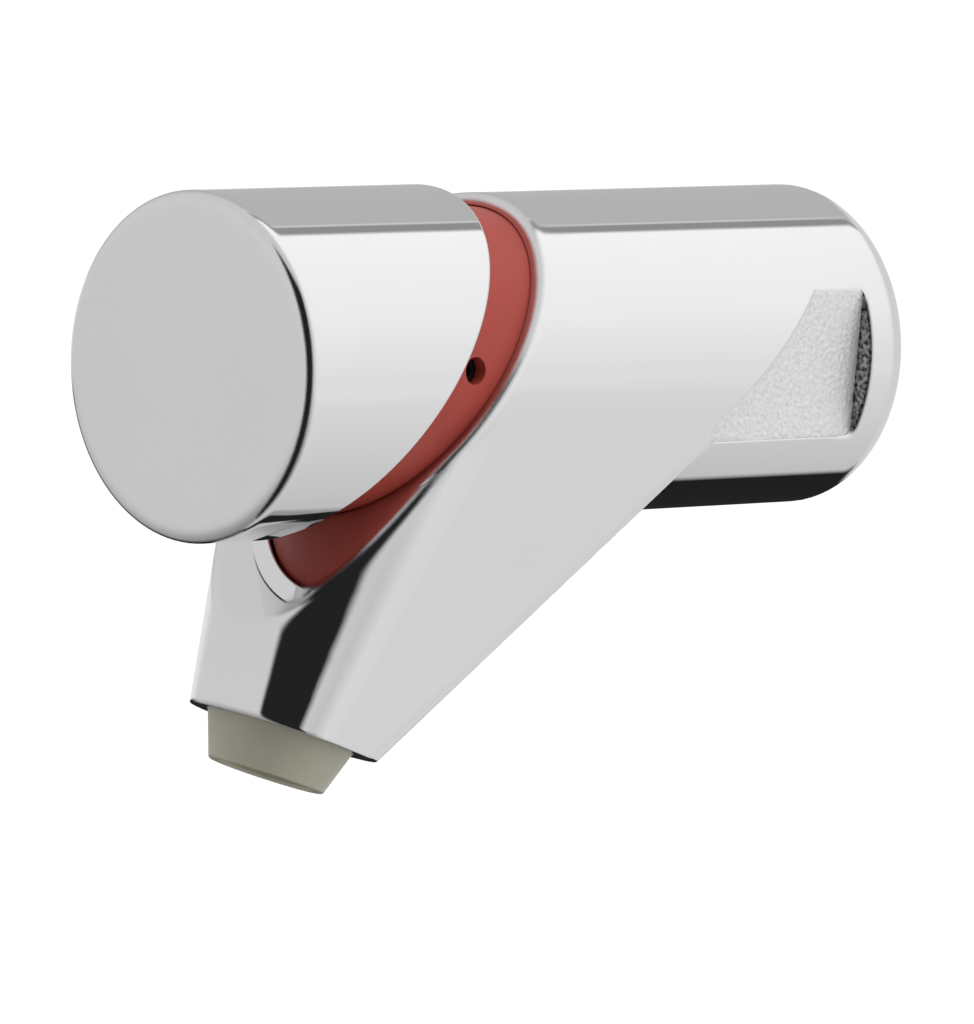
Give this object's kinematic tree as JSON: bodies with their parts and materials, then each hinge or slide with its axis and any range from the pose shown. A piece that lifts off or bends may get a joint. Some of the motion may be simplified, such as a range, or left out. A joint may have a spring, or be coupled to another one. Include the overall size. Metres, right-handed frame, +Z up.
{
  "type": "self-closing wall tap",
  "caption": "Wall-mounted self-closing tap with a round push button, a coloured ring on a slanted face, a downward spout and a plastic outlet nozzle.",
  "frame": {"origin": "on the axis of the round body and inlet stub, in the plane of the wall", "axes": "+Y into the wall along the body's axis, -Y out towards the user, +Z up, +X to the side, right handed"},
  "size_m": [0.05, 0.136, 0.0875],
  "materials": {
    "body_chrome": "polished chrome, rough cast in the gripping flats",
    "button_chrome": "polished chrome",
    "red_ring": "satin moulded plastic",
    "grey_plastic": "satin moulded plastic",
    "insert_plastic": "satin",
    "black_rubber": "matte",
    "plated_brass": "machined",
    "stainless_steel": "pressed sheet",
    "white_plastic": "satin",
    "brass": "machined",
    "insert_black": "satin"
  },
  "bodies": {
    "tap_body": {"body": "body_chrome", "colour_ring": "red_ring", "nozzle": "grey_plastic", "jet_insert": "insert_plastic", "nozzle_washer": "black_rubber", "inlet_stub": "plated_brass", "wall_gasket": "black_rubber", "inlet_filter": "stainless_steel", "flow_regulator": "white_plastic", "cartridge_sleeve": "brass", "valve_seat": "stainless_steel", "sleeve_seal_inner": "black_rubber", "sleeve_seal_outer": "black_rubber", "head_nut": "brass", "head_seal": "black_rubber", "spindle_seal": "black_rubber", "ring_screw": "stainless_steel", "return_spring": "stainless_steel"},
    "button_group": {"push_button": "button_chrome", "button_insert": "insert_black", "button_screw": "stainless_steel", "spindle": "stainless_steel", "piston": "white_plastic", "piston_lip_seal": "black_rubber", "valve_head": "brass", "valve_seal": "black_rubber", "valve_nut": "brass"}
  },
  "joints": [
    {"name": "button_press", "type": "slide", "parent": "tap_body", "child": "button_group", "axis": [0, 1, 0], "range_m": [0, 0.007], "stiffness_N_per_m": 1800, "springref_m": -0.01, "deforming": ["return_spring"]}
  ]
}
